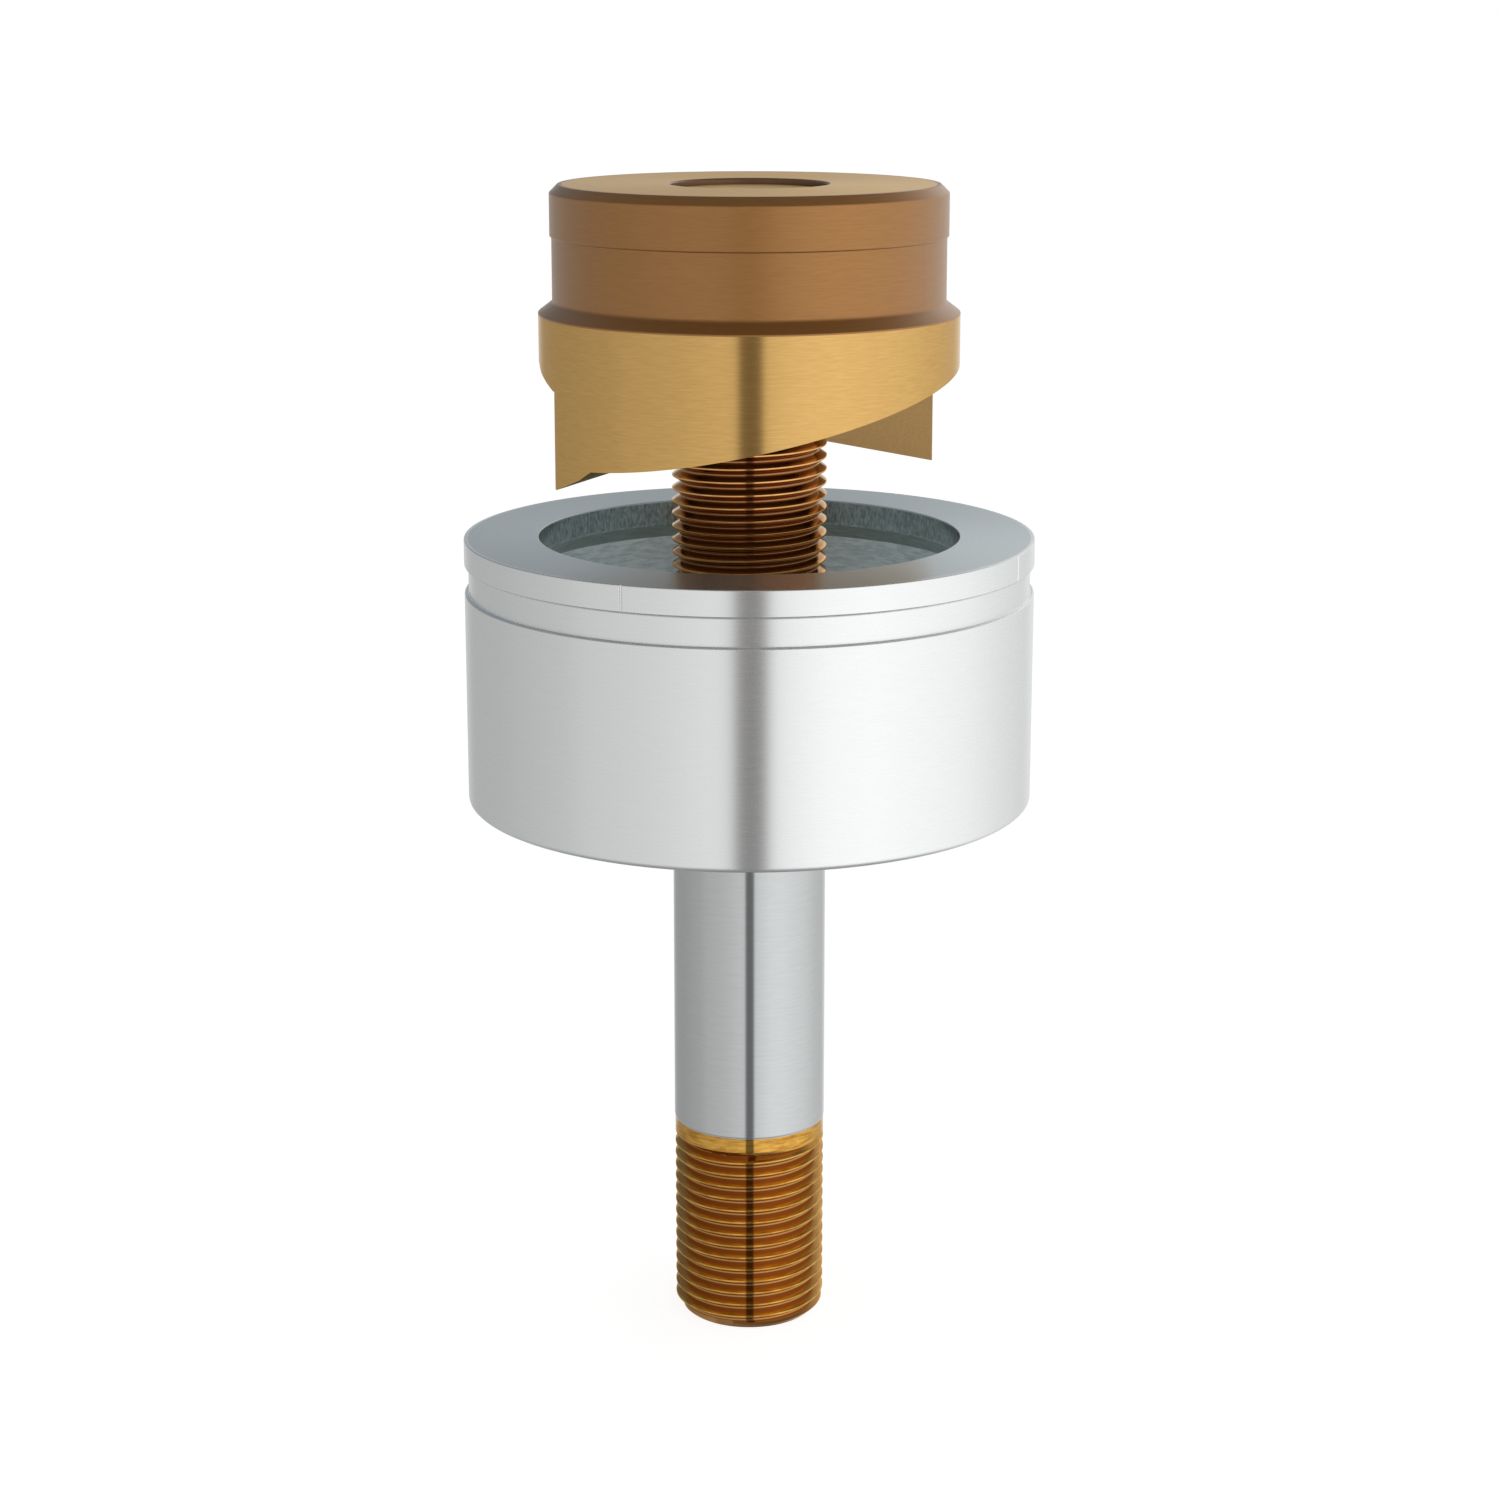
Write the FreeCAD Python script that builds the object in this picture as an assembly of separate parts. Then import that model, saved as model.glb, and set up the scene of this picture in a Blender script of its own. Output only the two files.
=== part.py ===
import FreeCAD, Part
import math
import os

# Knockout punch: a two-lobed punch and a cup-shaped die, drawn together by a stud.
# The stud stands on the z axis with its ram end down. The origin is on that axis,
# where the ram end's full diameter begins. All sizes are in millimetres.

# Draw stud
shank_diameter = 19.05
thread_diameter = 18.9
ram_end_length = 25.8
shank_length = 66.2
shank_blend = 0.6
punch_end_length = 50.8
stud_chamfer = 1.0
stud_chamfer_width = 1.0

# Die: a cup that stands on its foot, with its cutting edge at the rim
die_diameter = 69.7
die_height = 32.8
die_foot_height = 42.4
die_floor_thickness = 10.0
stud_hole_clearance = 0.35
foot_chamfer = 0.6
rim_edge = 0.3
floor_corner = 1.5

# Cutting land at the rim, and the relief that the slug falls through below it
cutting_clearance = 0.35
land_height = 2.9
relief_depth = 1.55
relief_slope_height = 2.1

# Shallow ring round the outside of the die, below the rim band
rim_band_height = 3.1
ring_height = 3.55
ring_depth = 0.5
ring_edge = 0.15

# Index marks scribed across the rim band
mark_count = 4
mark_width = 0.5
mark_depth = 0.25
first_mark_turn = -114.5

# Punch
punch_height = 35.2
punch_above_stud = 0.7
running_clearance = 0.07
flange_diameter = 50.8
cap_diameter = 47.85
cap_height = 6.2
cap_chamfer = 1.0
neck_diameter = 47.4
neck_height = 7.7
shoulder_height = 1.3
hole_chamfer = 0.4

# Cutting lips: each half of the punch ends in a sloping face with a blade along its straight side
lip_slope = 12.9
lip_turn = 205.5
blade_height = 2.85
blade_land = 0.4
blade_flank = 5.4
blade_heel = 2.1
blade_heel_height = 1.1

# Heights along the axis that follow from the sizes above
stud_top = shank_length + punch_end_length
punch_top = stud_top + punch_above_stud
punch_low = punch_top - punch_height
die_rim = die_foot_height + die_height
die_floor = die_foot_height + die_floor_thickness


centre = FreeCAD.Vector(0, 0, 0)
upright = FreeCAD.Vector(0, 0, 1)


def flat_face(corners):
    return Part.Face(Part.makePolygon(corners + corners[:1]))


def turned(outline):
    """A solid turned round the z axis from (radius, height) corners listed in order."""
    corners = [FreeCAD.Vector(radius, 0, height) for radius, height in outline]
    return flat_face(corners).revolve(centre, upright, 360)


def draw_stud():
    """The bar: two ends at the thread's full diameter, blended into the ground shank between them."""
    thread_radius = thread_diameter / 2
    shank_radius = shank_diameter / 2
    end_radius = thread_radius - stud_chamfer_width
    outline = [
        (0, -ram_end_length),
        (end_radius, -ram_end_length),
        (thread_radius, stud_chamfer - ram_end_length),
        (thread_radius, 0),
        (shank_radius, shank_blend),
        (shank_radius, shank_length - shank_blend),
        (thread_radius, shank_length),
        (thread_radius, stud_top - stud_chamfer),
        (end_radius, stud_top),
        (0, stud_top),
    ]
    return turned(outline)


def index_mark(turn):
    """A vee-shaped cutter as long as the rim band. It is twice as deep as the mark and half outside."""
    outer = die_diameter / 2
    low = die_rim - rim_band_height
    corners = [
        FreeCAD.Vector(outer - mark_depth, 0, low),
        FreeCAD.Vector(outer + mark_depth, -mark_width, low),
        FreeCAD.Vector(outer + mark_depth, mark_width, low),
    ]
    cutter = flat_face(corners).extrude(upright * rim_band_height)
    cutter.rotate(centre, upright, turn)
    return cutter


def die():
    """The turned cup, hollow down to its floor, with a hole for the stud."""
    outer = die_diameter / 2
    ring_radius = outer - ring_depth
    land_radius = flange_diameter / 2 + cutting_clearance
    relief_radius = land_radius + relief_depth
    hole_radius = shank_diameter / 2 + stud_hole_clearance
    ring_top = die_rim - rim_band_height
    ring_low = ring_top - ring_height
    land_low = die_rim - land_height
    outline = [
        (hole_radius, die_foot_height),
        (outer - foot_chamfer, die_foot_height),
        (outer, die_foot_height + foot_chamfer),
        (outer, ring_low - ring_edge),
        (outer - ring_edge, ring_low),
        (ring_radius, ring_low),
        (ring_radius, ring_top),
        (outer, ring_top),
        (outer, die_rim - rim_edge),
        (outer - rim_edge, die_rim),
        (land_radius, die_rim),
        (land_radius, land_low),
        (relief_radius, land_low - relief_slope_height),
        (relief_radius, die_floor + floor_corner),
        (relief_radius - floor_corner, die_floor),
        (hole_radius, die_floor),
    ]
    cup = turned(outline)
    for number in range(mark_count):
        cup = cup.cut(index_mark(first_mark_turn + 360 * number / mark_count))
    return cup


def lip_cutter():
    """What is cut away under one half of the punch, before it is turned to its place.

    The half is the side of positive y. The blade lies along the x axis, at the height
    of the punch's tip where x is the flange radius, and it rises towards negative x.
    The cutter runs past the flange on every side.
    """
    reach = flange_diameter
    depth = punch_height + flange_diameter
    rise = math.tan(math.radians(lip_slope))
    start_height = punch_low + rise * (flange_diameter / 2 + reach)
    flank_end = blade_land + blade_flank
    section = [
        (0, 0),
        (blade_land, 0),
        (flank_end, blade_height - blade_heel_height),
        (flank_end + blade_heel, blade_height),
        (reach, blade_height),
        (reach, -depth),
        (0, -depth),
    ]
    corners = [FreeCAD.Vector(-reach, across, start_height + up) for across, up in section]
    return flat_face(corners).extrude(FreeCAD.Vector(2 * reach, 0, -2 * reach * rise))


def punch():
    """The turned blank with its stud hole, then one lip cut under each half."""
    flange_radius = flange_diameter / 2
    cap_radius = cap_diameter / 2
    neck_radius = neck_diameter / 2
    hole_radius = thread_diameter / 2 + running_clearance
    cap_low = punch_top - cap_height
    neck_low = cap_low - neck_height
    outline = [
        (hole_radius, punch_low),
        (flange_radius, punch_low),
        (flange_radius, neck_low - shoulder_height),
        (neck_radius, neck_low),
        (neck_radius, cap_low),
        (cap_radius, cap_low),
        (cap_radius, punch_top - cap_chamfer),
        (cap_radius - cap_chamfer, punch_top),
        (hole_radius + hole_chamfer, punch_top),
        (hole_radius, punch_top - hole_chamfer),
    ]
    body = turned(outline)
    for turn in (lip_turn, lip_turn + 180):
        cutter = lip_cutter()
        cutter.rotate(centre, upright, turn)
        body = body.cut(cutter)
    return body


os.makedirs("parts", exist_ok=True)
pieces = {"draw_stud": draw_stud, "die": die, "punch": punch}
for name, make in pieces.items():
    solid = make()
    solid.exportStep("parts/" + name + ".step")
    box = solid.BoundBox
    print(name, solid.isValid(), len(solid.Solids), round(solid.Volume), round(box.ZMin, 2), round(box.ZMax, 2))
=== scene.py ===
from math import pi, radians, tau

import bmesh
import bpy
import numpy as np
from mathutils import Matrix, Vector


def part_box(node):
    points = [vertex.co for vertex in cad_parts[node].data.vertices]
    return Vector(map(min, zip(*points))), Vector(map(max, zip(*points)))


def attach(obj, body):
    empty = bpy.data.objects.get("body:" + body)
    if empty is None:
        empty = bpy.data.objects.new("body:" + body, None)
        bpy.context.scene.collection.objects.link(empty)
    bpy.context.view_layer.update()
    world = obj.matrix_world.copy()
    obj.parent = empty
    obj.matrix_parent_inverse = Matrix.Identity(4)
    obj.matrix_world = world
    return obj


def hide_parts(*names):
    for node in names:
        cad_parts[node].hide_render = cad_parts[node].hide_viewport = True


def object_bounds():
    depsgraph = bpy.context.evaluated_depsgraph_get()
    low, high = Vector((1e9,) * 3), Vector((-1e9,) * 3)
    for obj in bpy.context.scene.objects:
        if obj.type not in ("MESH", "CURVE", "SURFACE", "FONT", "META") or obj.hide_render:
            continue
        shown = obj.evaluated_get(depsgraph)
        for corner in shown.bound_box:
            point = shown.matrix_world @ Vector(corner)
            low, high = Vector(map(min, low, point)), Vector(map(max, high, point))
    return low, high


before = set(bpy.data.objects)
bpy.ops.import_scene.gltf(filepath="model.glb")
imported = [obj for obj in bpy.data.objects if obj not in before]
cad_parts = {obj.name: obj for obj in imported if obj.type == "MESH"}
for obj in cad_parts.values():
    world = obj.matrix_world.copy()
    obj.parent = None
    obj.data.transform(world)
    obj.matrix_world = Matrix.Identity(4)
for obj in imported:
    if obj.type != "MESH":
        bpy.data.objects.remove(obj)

cad_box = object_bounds()
mm = 0.001

# Studio: a plain pale floor, a soft white room and a camera a little higher than the punch.
# The floor is as low as the stud's end. The room is brightest to the right of the camera, as polished
# metal shows it, and a narrow dark gap stands behind the camera.
scene = bpy.context.scene
scene.view_settings.view_transform = "Standard"


class Field:
    """An output socket of a node tree. Arithmetic on it adds Math nodes."""

    def __init__(self, tree, socket=None):
        self.tree = tree
        self.socket = socket

    def node(self, kind, settings=None, inputs=None, output=0):
        """Adds any node: first its settings and a ramp's stops, then the values or links of its sockets."""
        made = self.tree.nodes.new(kind)
        for name, value in (settings or {}).items():
            if name == "stops":
                self.set_stops(made.color_ramp, value)
            else:
                setattr(made, name, value)
        for name, value in (inputs or {}).items():
            if isinstance(value, Field):
                self.tree.links.new(value.socket, made.inputs[name])
            else:
                made.inputs[name].default_value = value
        return Field(self.tree, made.outputs[output] if made.outputs else None)

    @staticmethod
    def set_stops(ramp, stops):
        """Gives a colour ramp its stops, each a place from 0 to 1 and a colour or a grey level."""
        while len(ramp.elements) < len(stops):
            ramp.elements.new(1)
        for element, (place, colour) in zip(ramp.elements, stops):
            element.position = place
            shown = colour if hasattr(colour, "__len__") else (colour, colour, colour)
            element.color = (*shown, 1)

    def maths(self, operation, *terms):
        """Adds a Math node that takes the terms in order."""
        return self.node("ShaderNodeMath", {"operation": operation}, dict(enumerate(terms)))

    def blend(self, low, high):
        """The colour low where this field is 0, and high where it is 1."""
        # The colour sockets of a Mix node are its inputs 6 and 7 and its output 2
        inputs = {"Factor": self, 6: low, 7: high}
        return self.node("ShaderNodeMix", {"data_type": "RGBA"}, inputs, output=2)

    def rise(self, start, end):
        """0 where the field is below start, 1 where it is above end, and smooth between them."""
        settings = {"interpolation_type": "SMOOTHSTEP"}
        inputs = {"Value": self, "From Min": start, "From Max": end}
        return self.node("ShaderNodeMapRange", settings, inputs)

    def __add__(self, other):
        return self.maths("ADD", self, other)

    def __mul__(self, other):
        return self.maths("MULTIPLY", self, other)

    def __sub__(self, other):
        return self.maths("SUBTRACT", self, other)

    def __rsub__(self, other):
        return self.maths("SUBTRACT", other, self)

    __radd__ = __add__
    __rmul__ = __mul__


def grey(level, warmth=0.0):
    """A nearly neutral colour, a little warmer or cooler."""
    return (level * (1 + warmth), level, level * (1 - warmth), 1)


def room_light():
    """The room as metal sees it, by compass turn and by height.

    A turn of 0.5 is the camera's side, 0.75 the right and 0 the back. The light of the low stops comes
    from the pale floor and the horizon, and it is darker straight below. The wall stops are the light of
    the walls, which grows dimmer overhead. The gap is a narrow dark stretch that fades out up the wall.
    """
    world = bpy.data.worlds.new("Studio")
    world.use_nodes = True
    scene.world = world
    tree = world.node_tree
    start = Field(tree)
    toward = start.node("ShaderNodeTexCoord", output="Generated")
    across = start.node("ShaderNodeSeparateXYZ", inputs={"Vector": toward})
    away = Field(tree, across.socket.node.outputs["Y"])
    height = Field(tree, across.socket.node.outputs["Z"])
    turn = across.maths("ARCTAN2", across, 0 - away) * (1 / tau) + 0.5
    low_stops = [(0, 0.90), (0.03, 0.75), (0.08, 0.47), (0.17, 0.52), (0.28, 0.635), (0.31, 0.71),
                 (0.36, 0.76), (0.40, 0.81), (0.46, 0.93), (0.49, 0.95), (0.515, 1.0), (0.54, 1.07),
                 (0.59, 1.22), (0.64, 1.24), (0.71, 1.14), (0.765, 1.05), (0.83, 0.88), (0.91, 0.72),
                 (0.96, 0.86), (1, 0.90)]
    back_grey = (0.40, 0.42, 0.44)
    shade_grey = (0.25, 0.28, 0.31)
    wall_stops = [(0, back_grey), (0.03, shade_grey), (0.12, shade_grey), (0.30, 0.42), (0.45, 0.62),
                  (0.50, 0.70), (0.56, 0.85), (0.70, 0.95), (0.88, 0.90), (0.96, 0.95), (1, back_grey)]
    low = start.node("ShaderNodeValToRGB", {"stops": low_stops}, {"Fac": turn})
    wall = start.node("ShaderNodeValToRGB", {"stops": wall_stops}, {"Fac": turn})
    above = height.rise(0.08, 0.18)
    overhead = height.rise(0.30, 0.80)
    beneath = (0 - height).rise(0.50, 0.90)
    sides = above.blend(low, wall)
    whole = overhead.blend(beneath.blend(sides, grey(0.30, -0.02)), grey(0.24, 0.0))
    gap_turn = 0.502
    from_gap = (turn - gap_turn).maths("ABSOLUTE", turn - gap_turn)
    gap = (1 - from_gap.rise(0.013, 0.023)) * (1 - height.rise(0.25, 0.5))
    gap_colour = height.rise(-0.19, -0.12).blend(grey(0.21, -0.04), (0.25, 0.20, 0.165, 1))
    seen_in_metal = gap.blend(whole, gap_colour)
    looking = start.node("ShaderNodeLightPath", output="Is Camera Ray")
    shown = looking.blend(seen_in_metal, (1, 1, 1, 1))
    back = tree.nodes["Background"]
    tree.links.new(shown.socket, back.inputs["Color"])
    back.inputs["Strength"].default_value = 1.0


def floor_paper():
    """White paper: most of its white is its own glow, and the rest is the light that falls on it."""
    material = bpy.data.materials.new("floor_paper")
    material.use_nodes = True
    tree = material.node_tree
    tree.nodes.clear()
    start = Field(tree)
    glow = start.node("ShaderNodeEmission", inputs={"Color": (1, 1, 1, 1), "Strength": 0.862})
    matt = start.node("ShaderNodeBsdfDiffuse", inputs={"Color": (0.42, 0.42, 0.42, 1)})
    both = start.node("ShaderNodeAddShader", inputs={0: glow, 1: matt})
    start.node("ShaderNodeOutputMaterial", inputs={"Surface": both})
    return material


room_light()
floor_reach = 6.0
floor_data = bpy.data.meshes.new("floor")
floor_signs = [(-1, -1), (1, -1), (1, 1), (-1, 1)]
floor_corners = [(x * floor_reach, y * floor_reach, cad_box[0].z) for x, y in floor_signs]
floor_data.from_pydata(floor_corners, [], [(0, 1, 2, 3)])
floor_data.materials.append(floor_paper())
floor = bpy.data.objects.new("floor", floor_data)
scene.collection.objects.link(floor)
floor.visible_glossy = False
floor.visible_shadow = False

# The camera's place was fitted to the photograph's circles and outlines
photo_width = 1500
focal_pixels = 2959.8
optical_axis_pixel = (749.3, 640.0)
camera_distance = 356.7 * mm
camera_height = 141.3 * mm
camera_dip = 12.56
camera_data = bpy.data.cameras.new("camera")
camera_data.sensor_width = 36
camera_data.lens = focal_pixels * camera_data.sensor_width / photo_width
camera_data.shift_x = (photo_width / 2 - optical_axis_pixel[0]) / photo_width
camera_data.shift_y = (optical_axis_pixel[1] - photo_width / 2) / photo_width
camera_data.clip_start = 0.01
camera = bpy.data.objects.new("camera", camera_data)
camera.location = (0, -camera_distance, camera_height)
camera.rotation_euler = (radians(90 - camera_dip), 0, 0)
scene.collection.objects.link(camera)
scene.camera = camera

# Draw stud: one ground steel bar, threaded right-handed, 16 threads to the inch, at both ends.
# The ends carry a gold-bronze hard coating, redder on the upper end, that stops at a sharp line.
# Painted shade darkens the coating towards the roots of the threads. The shank stays bright, and the
# upper end's flat face is a lighter tan, painted light from above.
stud_low, stud_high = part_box("draw_stud")
shank_radius = stud_high.x
thread_radius = 9.45 * mm
thread_pitch = 25.4 * mm / 16
shank_length = 66.2 * mm
shank_blend = 0.25 * mm
stud_chamfer = 1.0 * mm
crest_flat = thread_pitch / 8
root_flat = thread_pitch / 6
thread_depth = 0.58 * thread_pitch
crest_rounding = 0.05 * mm
root_rounding = 0.10 * mm
plain_end = 1.5 * mm
lower_crest = -14.36 * mm
upper_crest = 78.25 * mm
stud_columns = 96


def rounded(corners, steps=4):
    """Points along an outline of (radius, height, rounding) corners, as an array of radius and height.

    A rounded corner is an arc that is tangent to both its edges: points blended from one tangent point to
    the other and pushed out to the rounding's radius. A point on each edge beside it keeps the edge flat.
    """
    places = np.array([corner[:2] for corner in corners], float)
    points = [places[:1]]
    for before, here, after, corner in zip(places, places[1:], places[2:], corners[1:]):
        back = (before - here) / np.linalg.norm(before - here)
        onward = (after - here) / np.linalg.norm(after - here)
        half = np.arccos(np.clip(back @ onward, -1, 1)) / 2
        size = corner[2]
        if size == 0:
            points.append(here[None])
            continue
        middle = here + (back + onward) / np.linalg.norm(back + onward) * size / np.sin(half)
        run = size / np.tan(half)
        share = np.linspace(0, 1, steps)[:, None]
        spokes = (1 - share) * (here + back * run - middle) + share * (here + onward * run - middle)
        arc = middle + size * spokes / np.linalg.norm(spokes, axis=1, keepdims=True)
        spare = 0.3 * size
        points += [(here + back * (run + spare))[None], arc, (here + onward * (run + spare))[None]]
    points.append(places[-1:])
    return np.concatenate(points)


def around(outline, turns):
    """A grid: each (radius, height) of the outline, carried round the z axis to every angle of turns.

    A point is radius times the cosine and the sine of its angle, at the outline's height.
    """
    radius, height = outline[:, :1], outline[:, 1:]
    return np.stack([radius * np.cos(turns), radius * np.sin(turns), height + 0 * turns[None]], -1)


def ring_piece(name, grids, materials, sharp_angle=32):
    """One closed surface made of grids that meet edge to edge.

    A grid is (points, material number, rows climbed in one turn). Its last column meets its first, that
    many rows higher. Points that coincide are merged, so rows that shrink to a point or an edge close up.
    """
    places, quads, numbers = [], [], []
    start = 0
    for points, material_number, climb in grids:
        rows, columns = points.shape[:2]
        number = start + np.arange(rows * columns).reshape(rows, columns)
        right = np.roll(number, -1, axis=1)
        right[:, -1] = number[np.minimum(np.arange(rows) + climb, rows - 1), 0]
        faces = np.stack([number[:-1], right[:-1], right[1:], number[1:]], -1).reshape(-1, 4)
        places.append(points.reshape(-1, 3))
        quads.append(faces)
        numbers.append(np.full(len(faces), material_number))
        start += rows * columns
    data = bpy.data.meshes.new(name)
    data.from_pydata(np.concatenate(places), [], np.concatenate(quads))
    data.polygons.foreach_set("material_index", np.concatenate(numbers))
    data.polygons.foreach_set("use_smooth", np.ones(len(data.polygons), bool))
    merged = bmesh.new()
    merged.from_mesh(data)
    merge_distance = 2e-6
    bmesh.ops.remove_doubles(merged, verts=merged.verts, dist=merge_distance)
    merged.to_mesh(data)
    merged.free()
    data.set_sharp_from_angle(angle=radians(sharp_angle))
    for material in materials:
        data.materials.append(material)
    piece = bpy.data.objects.new(name, data)
    scene.collection.objects.link(piece)
    return piece


def thread(low, high, crest, turns, fade_start, fade_end, material_number):
    """A right-handed thread between two heights, as a grid that climbs one pitch in each turn.

    A row is one point of the thread's section. Its height is the section's, plus the pitch times the share
    of a turn that the angle has made from the front. crest is the height of a crest at the front. The
    groove's depth grows from nothing to full between fade_start and fade_end, in turns counted from crest.
    Heights past the ends are cut off, and the stud's chamfers limit the radius.
    """
    flank = (thread_pitch - crest_flat - root_flat) / 2
    half = thread_pitch / 2
    corners = [
        (0, -half, 0),
        (0, -half + root_flat / 2, root_rounding),
        (thread_depth, -half + root_flat / 2 + flank, crest_rounding),
        (thread_depth, -half + root_flat / 2 + flank + crest_flat, crest_rounding),
        (0, half - root_flat / 2, root_rounding),
        (0, half, 0),
    ]
    section = rounded(corners, steps=3)[:-1]
    first = int(np.floor((low - crest) / thread_pitch)) - 1
    last = int(np.ceil((high - crest) / thread_pitch)) + 1
    pitches = np.arange(first, last + 1)
    above_root = np.tile(section[:, 0], len(pitches))[:, None]
    height = (section[:, 1] + pitches[:, None] * thread_pitch).reshape(-1, 1)
    from_front = (turns + pi / 2) / tau
    climbed = height + crest + thread_pitch * from_front[None]
    counted = (climbed - crest) / thread_pitch
    depth = np.clip((counted - fade_start) / (fade_end - fade_start), 0, 1)
    radius = thread_radius - (thread_depth - above_root) * depth
    z = np.clip(climbed, low, high)
    for end, inward in ((stud_low.z, 1), (stud_high.z, -1)):
        radius = np.minimum(radius, thread_radius - stud_chamfer + inward * (z - end))
    grid = np.stack([radius * np.cos(turns), radius * np.sin(turns), z], -1)
    return grid, material_number, len(section)


def scaled_place(start, factors):
    """The object coordinates times a factor for each axis."""
    place = start.node("ShaderNodeTexCoord", output="Object")
    return start.node("ShaderNodeVectorMath", {"operation": "MULTIPLY"}, {0: place, 1: factors})


def from_axis(start):
    """The distance from the z axis."""
    flat = scaled_place(start, (1, 1, 0))
    return start.node("ShaderNodeVectorMath", {"operation": "LENGTH"}, {0: flat}, output="Value")


def ring_marks(start, apart, along):
    """Noise that changes over the length apart up a wall or out from the axis, and over along round it."""
    place = scaled_place(start, (1 / along, 1 / along, 1 / apart))
    out = from_axis(start) * (1 / apart)
    inputs = {"Vector": place, "W": out, "Scale": 1.0, "Detail": 3.0, "Roughness": 0.6}
    return start.node("ShaderNodeTexNoise", {"noise_dimensions": "4D"}, inputs)


def turned_metal(name, dark, light, roughness, anisotropy, marks_apart, marks_depth,
                 groove=None, edge=(1, 1, 1), glow=0.0, coat=0.0, along=2 * mm):
    """Metal cut or ground while it turns: fine rings round the axis in its colour, polish and surface.

    The marks lie marks_apart from each other, run for about the length along, and are marks_depth deep.
    With anisotropy, reflections are sharp along the rings and drawn out across them. A groove, if it has
    one, is painted shade: the radius of its root, the radius of its crest and the darker colour at the
    root.
    Edge is the tint seen at a glancing angle. Glow is painted light that stands for the light that goes to
    and fro many times in a hollow, and coat is how much of a dull clear film lies over the metal.
    """
    material = bpy.data.materials.new(name)
    material.use_nodes = True
    tree = material.node_tree
    start = Field(tree)
    shader = tree.nodes["Principled BSDF"]
    shader.inputs["Metallic"].default_value = 1.0
    shader.inputs["Anisotropic"].default_value = anisotropy
    across_rings = 0.25
    shader.inputs["Anisotropic Rotation"].default_value = across_rings
    shader.inputs["Specular Tint"].default_value = (*edge, 1)
    # The emission is painted light: a glow in the light colour of the marks, as strong as glow
    shader.inputs["Emission Color"].default_value = (*light, 1)
    shader.inputs["Emission Strength"].default_value = glow
    shader.inputs["Coat Weight"].default_value = coat
    shader.inputs["Coat Roughness"].default_value = 0.35
    marks = ring_marks(start, marks_apart, along)
    colour = marks.rise(0.3, 0.7).blend((*dark, 1), (*light, 1))
    # Painted shade: nearer the axis than the crest radius, the colour darkens to the root colour
    if groove:
        root, crest, shade = groove
        colour = from_axis(start).rise(root, crest).blend((*shade, 1), colour)
    tree.links.new(colour.socket, shader.inputs["Base Color"])
    polish = marks.rise(0.25, 0.75) * (0.06 * roughness) + 0.97 * roughness
    tree.links.new(polish.socket, shader.inputs["Roughness"])
    bump = start.node("ShaderNodeBump", inputs={"Height": marks, "Distance": marks_depth, "Strength": 1.0})
    tree.links.new(bump.socket, shader.inputs["Normal"])
    return material


stud_turns = np.linspace(0, tau, stud_columns, endpoint=False)
stud_end_radius = thread_radius - stud_chamfer
lower_fade = (7.75, 7.35)
upper_fade = (-6.0, -5.6)
blend_rounding = 0.2 * mm
lower_face = np.array([
    (0, stud_low.z),
    (0.5 * stud_end_radius, stud_low.z),
    (stud_end_radius, stud_low.z),
])
upper_face = np.array([
    (stud_end_radius, stud_high.z),
    (0.5 * stud_end_radius, stud_high.z),
    (0, stud_high.z),
])
lower_plain = np.array([(thread_radius, -plain_end), (thread_radius, 0)])
upper_plain = np.array([(thread_radius, shank_length), (thread_radius, shank_length + plain_end)])
shank = rounded([
    (thread_radius, 0, 0),
    (shank_radius, shank_blend, blend_rounding),
    (shank_radius, shank_length - shank_blend, blend_rounding),
    (thread_radius, shank_length, 0),
])
stud_grids = [
    (around(lower_face, stud_turns), 1, 0),
    thread(stud_low.z, -plain_end, lower_crest, stud_turns, *lower_fade, 1),
    (around(lower_plain, stud_turns), 1, 0),
    (around(shank, stud_turns), 0, 0),
    (around(upper_plain, stud_turns), 2, 0),
    thread(shank_length + plain_end, stud_high.z, upper_crest, stud_turns, *upper_fade, 2),
    (around(upper_face, stud_turns), 3, 0),
]
root_radius = thread_radius - thread_depth
# Painted shade in the threads: the coats darken towards the roots, across this span of radii
painted_shade_span = (root_radius + 0.40 * mm, thread_radius)
gold_edge = (1.0, 0.90, 0.74)
ground_steel = turned_metal(
    "ground_steel", dark=(0.515, 0.53, 0.53), light=(0.545, 0.56, 0.56), roughness=0.18, anisotropy=0.90,
    marks_apart=0.12 * mm, marks_depth=0.10e-6)
bronze_coat = turned_metal(
    "bronze_coat", dark=(0.42, 0.195, 0.035), light=(0.74, 0.42, 0.085), roughness=0.09, anisotropy=0.9,
    marks_apart=0.30 * mm, marks_depth=0.15e-6,
    groove=(*painted_shade_span, (0.42, 0.21, 0.075)), edge=gold_edge)
copper_coat = turned_metal(
    "copper_coat", dark=(0.66, 0.34, 0.12), light=(0.86, 0.46, 0.17), roughness=0.13, anisotropy=0.5,
    marks_apart=0.25 * mm, marks_depth=0.2e-6,
    groove=(*painted_shade_span, (0.34, 0.16, 0.065)), edge=gold_edge)
# The flat top faces get a lighter tan than the coats, as painted light from above
top_face_painted_light = turned_metal(
    "top_face_painted_light", dark=(0.93, 0.585, 0.21), light=(1.0, 0.68, 0.27), roughness=0.32, anisotropy=0.3,
    marks_apart=0.25 * mm, marks_depth=0.3e-6, edge=gold_edge)
draw_stud = ring_piece("draw_stud_bar", stud_grids, [ground_steel, bronze_coat, copper_coat, top_face_painted_light])
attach(draw_stud, "draw_stud")
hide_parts("draw_stud")
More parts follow.
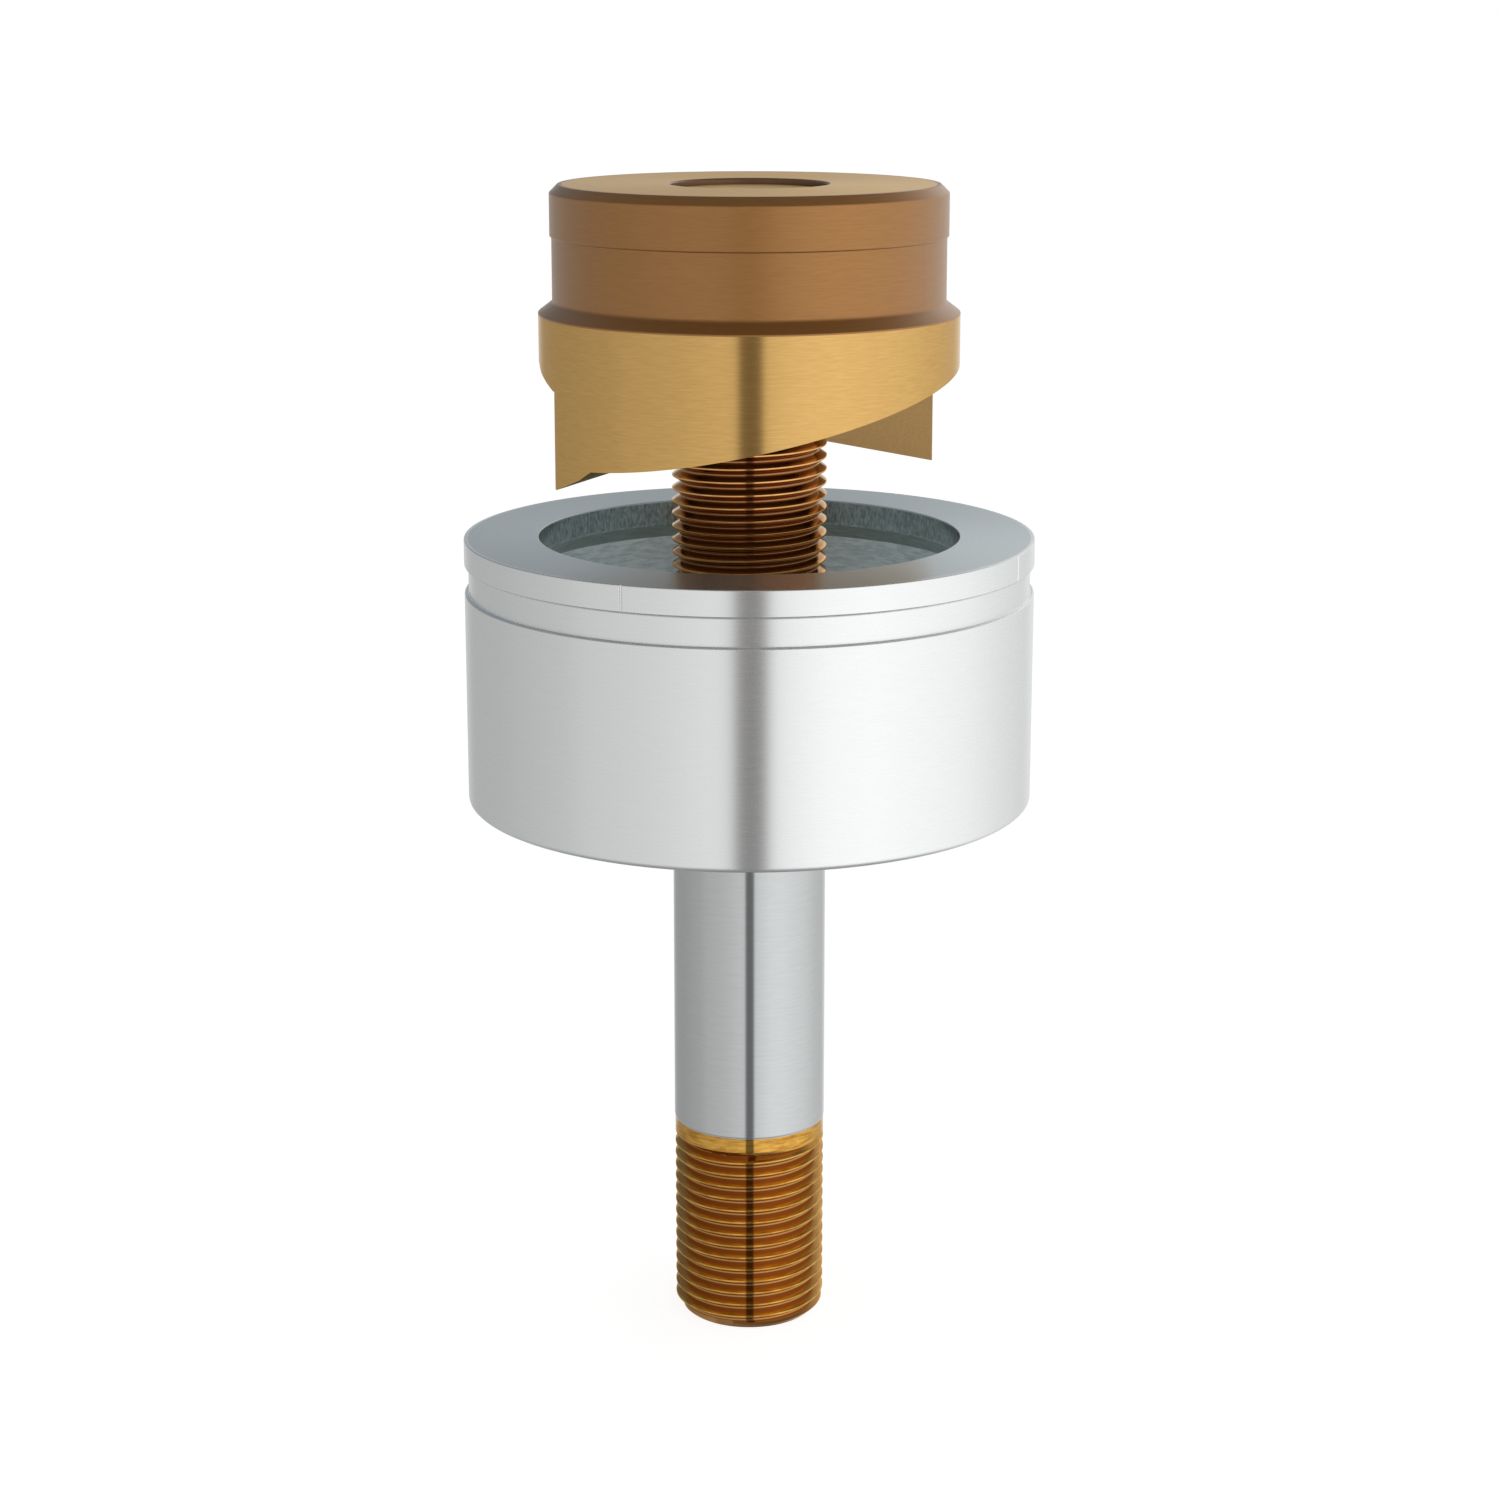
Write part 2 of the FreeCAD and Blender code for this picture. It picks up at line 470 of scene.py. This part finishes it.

# Die: a steel cup turned from bar, relieved inside so that the slug drops, and plated satin bright.
# The rim is darker, the cutting land mottled, the slope below the land darker as painted shade under the
# ledge, and the bore rough and pale, with a faint glow of painted light. It stands on the driver at its
# foot, and four fine lines are scribed across the band at its rim.
die_low, die_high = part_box("die")
die_radius = die_high.x
die_floor = die_low.z + 10.0 * mm
die_hole_radius = shank_radius + 0.35 * mm
land_radius = 25.75 * mm
relief_radius = land_radius + 1.55 * mm
land_low = die_high.z - 2.9 * mm
ring_top = die_high.z - 3.1 * mm
ring_low = ring_top - 3.55 * mm
ring_radius = die_radius - 0.5 * mm
line_count = 4
first_line_turn = -114.5
line_half_width = 0.2 * mm
line_depth = 0.12 * mm
die_columns = 240

# Where one finish of the die gives way to the next
floor_hole_seam = die_low.z + 1.0 * mm
rim_start = die_radius - 0.5 * mm
land_top = die_high.z - 0.2 * mm
slope_start = (land_radius + 0.25 * mm, land_low - 0.34 * mm)
slope_low = land_low - 2.1 * mm

die_outside = rounded([
    (die_hole_radius, floor_hole_seam, 0),
    (die_hole_radius, die_low.z, 0.3 * mm),
    (die_radius, die_low.z, 0.6 * mm),
    (die_radius, ring_low, 0.16 * mm),
    (ring_radius, ring_low, 0.10 * mm),
    (ring_radius, ring_top, 0.35 * mm),
    (die_radius, ring_top, 0.08 * mm),
    (die_radius, die_high.z, 0.12 * mm),
    (rim_start, die_high.z, 0),
])
die_rim = rounded([
    (rim_start, die_high.z, 0),
    (land_radius, die_high.z, 0.06 * mm),
    (land_radius, land_top, 0),
])
die_land = rounded([
    (land_radius, land_top, 0),
    (land_radius, land_low, 0.1 * mm),
    (*slope_start, 0),
])
die_slope = np.array([slope_start, (relief_radius, slope_low)])
die_bore = rounded([
    (relief_radius, slope_low, 0),
    (relief_radius, die_floor, 1.5 * mm),
    (die_hole_radius, die_floor, 0.2 * mm),
    (die_hole_radius, floor_hole_seam, 0),
])

# Extra columns at each scribed line, whose vee is deepest at its middle and cuts only the band at the rim
line_turns = radians(first_line_turn) + tau / line_count * np.arange(line_count)
line_half_angle = line_half_width / die_radius
line_columns = np.array([-1.3, -1, -0.4, 0, 0.4, 1, 1.3]) * line_half_angle
even_turns = np.linspace(-pi, pi, die_columns, endpoint=False)
die_turns = np.concatenate([even_turns, *(line_turns[:, None] + line_columns)])
die_turns = np.unique(np.round((die_turns + pi) % tau - pi, 7))
die_grid = around(die_outside, die_turns)
nearest_line = np.abs((die_turns[:, None] - line_turns + pi) % tau - pi).min(axis=1)
cut_depth = line_depth * np.clip(1 - nearest_line / line_half_angle, 0, 1)
wall_radius = np.hypot(die_grid[..., 0], die_grid[..., 1])
band_low = ring_top - 0.3 * mm
band_inner = die_radius - 0.4 * mm
on_band = (die_grid[..., 2] > band_low) & (wall_radius > band_inner)
drawn_in = np.where(on_band, np.minimum(wall_radius, die_radius - cut_depth), wall_radius) / wall_radius
die_grid[..., :2] *= drawn_in[..., None]
satin_steel = turned_metal(
    "satin_steel", dark=(0.815, 0.83, 0.83), light=(0.85, 0.865, 0.865), roughness=0.27, anisotropy=0.87,
    marks_apart=0.12 * mm, marks_depth=0.13e-6)
rim_steel = turned_metal(
    "rim_steel", dark=(0.655, 0.725, 0.74), light=(0.705, 0.775, 0.79), roughness=0.34, anisotropy=0.45,
    marks_apart=0.12 * mm, marks_depth=0.14e-6)
land_steel = turned_metal(
    "land_steel", dark=(0.31, 0.355, 0.345), light=(0.66, 0.71, 0.70), roughness=0.20, anisotropy=0.0,
    marks_apart=0.8 * mm, marks_depth=5e-6, along=0.3 * mm)
# The slope under the land is darker than the bore, as painted shade under the ledge
slope_painted_shade = turned_metal(
    "slope_painted_shade", dark=(0.32, 0.37, 0.34), light=(0.44, 0.49, 0.46), roughness=0.30, anisotropy=0.0,
    marks_apart=0.4 * mm, marks_depth=2e-6)
# The bore's faint glow is painted light, for light bounced about inside the cup
bore_steel = turned_metal(
    "bore_steel", dark=(0.55, 0.65, 0.65), light=(0.92, 0.98, 1.0), roughness=0.42, anisotropy=0.0,
    marks_apart=0.4 * mm, marks_depth=10e-6, glow=0.06)
die_grids = [
    (die_grid, 0, 0),
    (around(die_rim, die_turns), 1, 0),
    (around(die_land, die_turns), 2, 0),
    (around(die_slope, die_turns), 3, 0),
    (around(die_bore, die_turns), 4, 0),
]
die = ring_piece("die_cup", die_grids, [satin_steel, rim_steel, land_steel, slope_painted_shade, bore_steel])
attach(die, "die")
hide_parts("die")

# Punch: a steel blank turned with a cap, a neck and a flange, then milled below into two sloping lips.
# Each lip is one half of the punch, with a blade along the plane between them. The coating is gold-bronze:
# brown and dull on the turned parts, bright where the flange was ground, darker towards the hole as painted
# shade, and a lighter tan on the top face, painted light from above.
punch_low, punch_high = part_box("punch")
flange_radius = punch_high.x
punch_hole_radius = thread_radius + 0.07 * mm
cap_radius = 23.925 * mm
neck_radius = 23.7 * mm
cap_low = punch_high.z - 6.2 * mm
neck_low = cap_low - 7.7 * mm
flange_top = neck_low - 1.3 * mm
flange_seam = flange_top - 0.2 * mm
cap_chamfer = 1.0 * mm
top_face_radius = cap_radius - 1.5 * mm
hole_chamfer = 0.2 * mm
punch_hole_seam = punch_high.z - 1.0 * mm
half_columns = 121
lip_slope = np.tan(radians(12.9))
lip_turn = radians(205.5)
blade_steps = np.array([0, 0.4, 5.8, 7.9]) * mm
blade_heights = np.array([0, 0, 1.75, 2.85]) * mm


def lip_height(radius, turns, second):
    """How high the underside is at a radius and an angle.

    It is the tip's height, plus the slope times the way along the blade from the tip, plus the height of
    the blade's section at that distance from the plane between the halves. second is 1 on the other half.
    """
    turned = turns - lip_turn - pi * second
    along = radius * np.cos(turned)
    out = np.abs(radius * np.sin(turned))
    return punch_low.z + lip_slope * (flange_radius - along) + np.interp(out, blade_steps, blade_heights)


# Angles from the start of a half at which a step of the blade crosses the hole or the flange
crossings = np.arcsin(np.outer(blade_steps[1:], (1 / punch_hole_radius, 1 / flange_radius))).ravel()
half_turns = np.unique(np.concatenate([np.linspace(0, pi, half_columns), crossings, pi - crossings]))
punch_turns = lip_turn + np.concatenate([half_turns, pi + half_turns])
second_half = np.repeat([0, 1], len(half_turns))

# Radii of the underside's rows: the hole, each step of the blade where it crosses that angle, the flange
away = np.maximum(np.abs(np.sin(punch_turns - lip_turn)), 1e-9)
creases = np.clip(blade_steps[1:, None] / away, punch_hole_radius, flange_radius)
hole_row = np.full((1, len(punch_turns)), punch_hole_radius)
flange_row = np.full((1, len(punch_turns)), flange_radius)
under_radius = np.concatenate([hole_row, creases, flange_row])
under_height = lip_height(under_radius, punch_turns, second_half)
step_top = punch_low.z + lip_slope * 2 * flange_radius
hole_step_top = punch_low.z + lip_slope * (flange_radius + punch_hole_radius)
level = np.ones(len(punch_turns))
flange_wall = np.stack([
    under_height[-1],
    np.maximum(under_height[-1], step_top),
    level * (step_top + 3.4 * mm),
    level * flange_seam,
])
hole_wall = np.stack([
    level * punch_hole_seam,
    np.maximum(under_height[0], hole_step_top),
    under_height[0],
])
above_flange = rounded([
    (flange_radius, flange_seam, 0),
    (flange_radius, flange_top, 0.10 * mm),
    (neck_radius, neck_low, 0.5 * mm),
    (neck_radius, cap_low, 0.06 * mm),
    (cap_radius, cap_low, 0.20 * mm),
    (cap_radius, punch_high.z - cap_chamfer, 0.25 * mm),
    (cap_radius - cap_chamfer, punch_high.z, 0.2 * mm),
    (top_face_radius, punch_high.z, 0),
])
punch_top = np.array([(top_face_radius, punch_high.z), (punch_hole_radius + hole_chamfer, punch_high.z)])
hole_edge = rounded([
    (punch_hole_radius + hole_chamfer, punch_high.z, 0),
    (punch_hole_radius, punch_high.z - hole_chamfer, 0.06 * mm),
    (punch_hole_radius, punch_hole_seam, 0),
])


def at_heights(radius, heights):
    """A grid at the punch's angles: radius times cosine and sine, with the heights as they are."""
    x = radius * np.cos(punch_turns) + 0 * heights
    y = radius * np.sin(punch_turns) + 0 * heights
    return np.stack([x, y, heights], -1)


gold_ground = turned_metal(
    "gold_ground", dark=(0.60, 0.365, 0.118), light=(0.70, 0.432, 0.152), roughness=0.22, anisotropy=0.88,
    marks_apart=0.09 * mm, marks_depth=0.11e-6,
    edge=gold_edge)
# Painted shade: the turned coat darkens to this colour towards the wall of the hole
hole_painted_shade = (punch_hole_radius + 0.1 * mm, punch_hole_radius + 0.3 * mm, (0.24, 0.13, 0.06))
gold_turned = turned_metal(
    "gold_turned", dark=(0.362, 0.156, 0.028), light=(0.415, 0.187, 0.036), roughness=0.50, anisotropy=0.3,
    marks_apart=0.12 * mm, marks_depth=0.2e-6,
    groove=hole_painted_shade, edge=(1, 0.97, 0.90), coat=1.0)
gold_milled = turned_metal(
    "gold_milled", dark=(0.31, 0.19, 0.075), light=(0.36, 0.22, 0.09), roughness=0.45, anisotropy=0.0,
    marks_apart=0.30 * mm, marks_depth=0.3e-6,
    edge=gold_edge)
punch_grids = [
    (at_heights(under_radius, under_height), 2, 0),
    (at_heights(flange_radius, flange_wall), 0, 0),
    (around(above_flange, punch_turns), 1, 0),
    (around(punch_top, punch_turns), 3, 0),
    (around(hole_edge, punch_turns), 1, 0),
    (at_heights(punch_hole_radius, hole_wall), 1, 0),
]
punch = ring_piece("punch_head", punch_grids, [gold_ground, gold_turned, gold_milled, top_face_painted_light])
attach(punch, "punch")
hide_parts("punch")
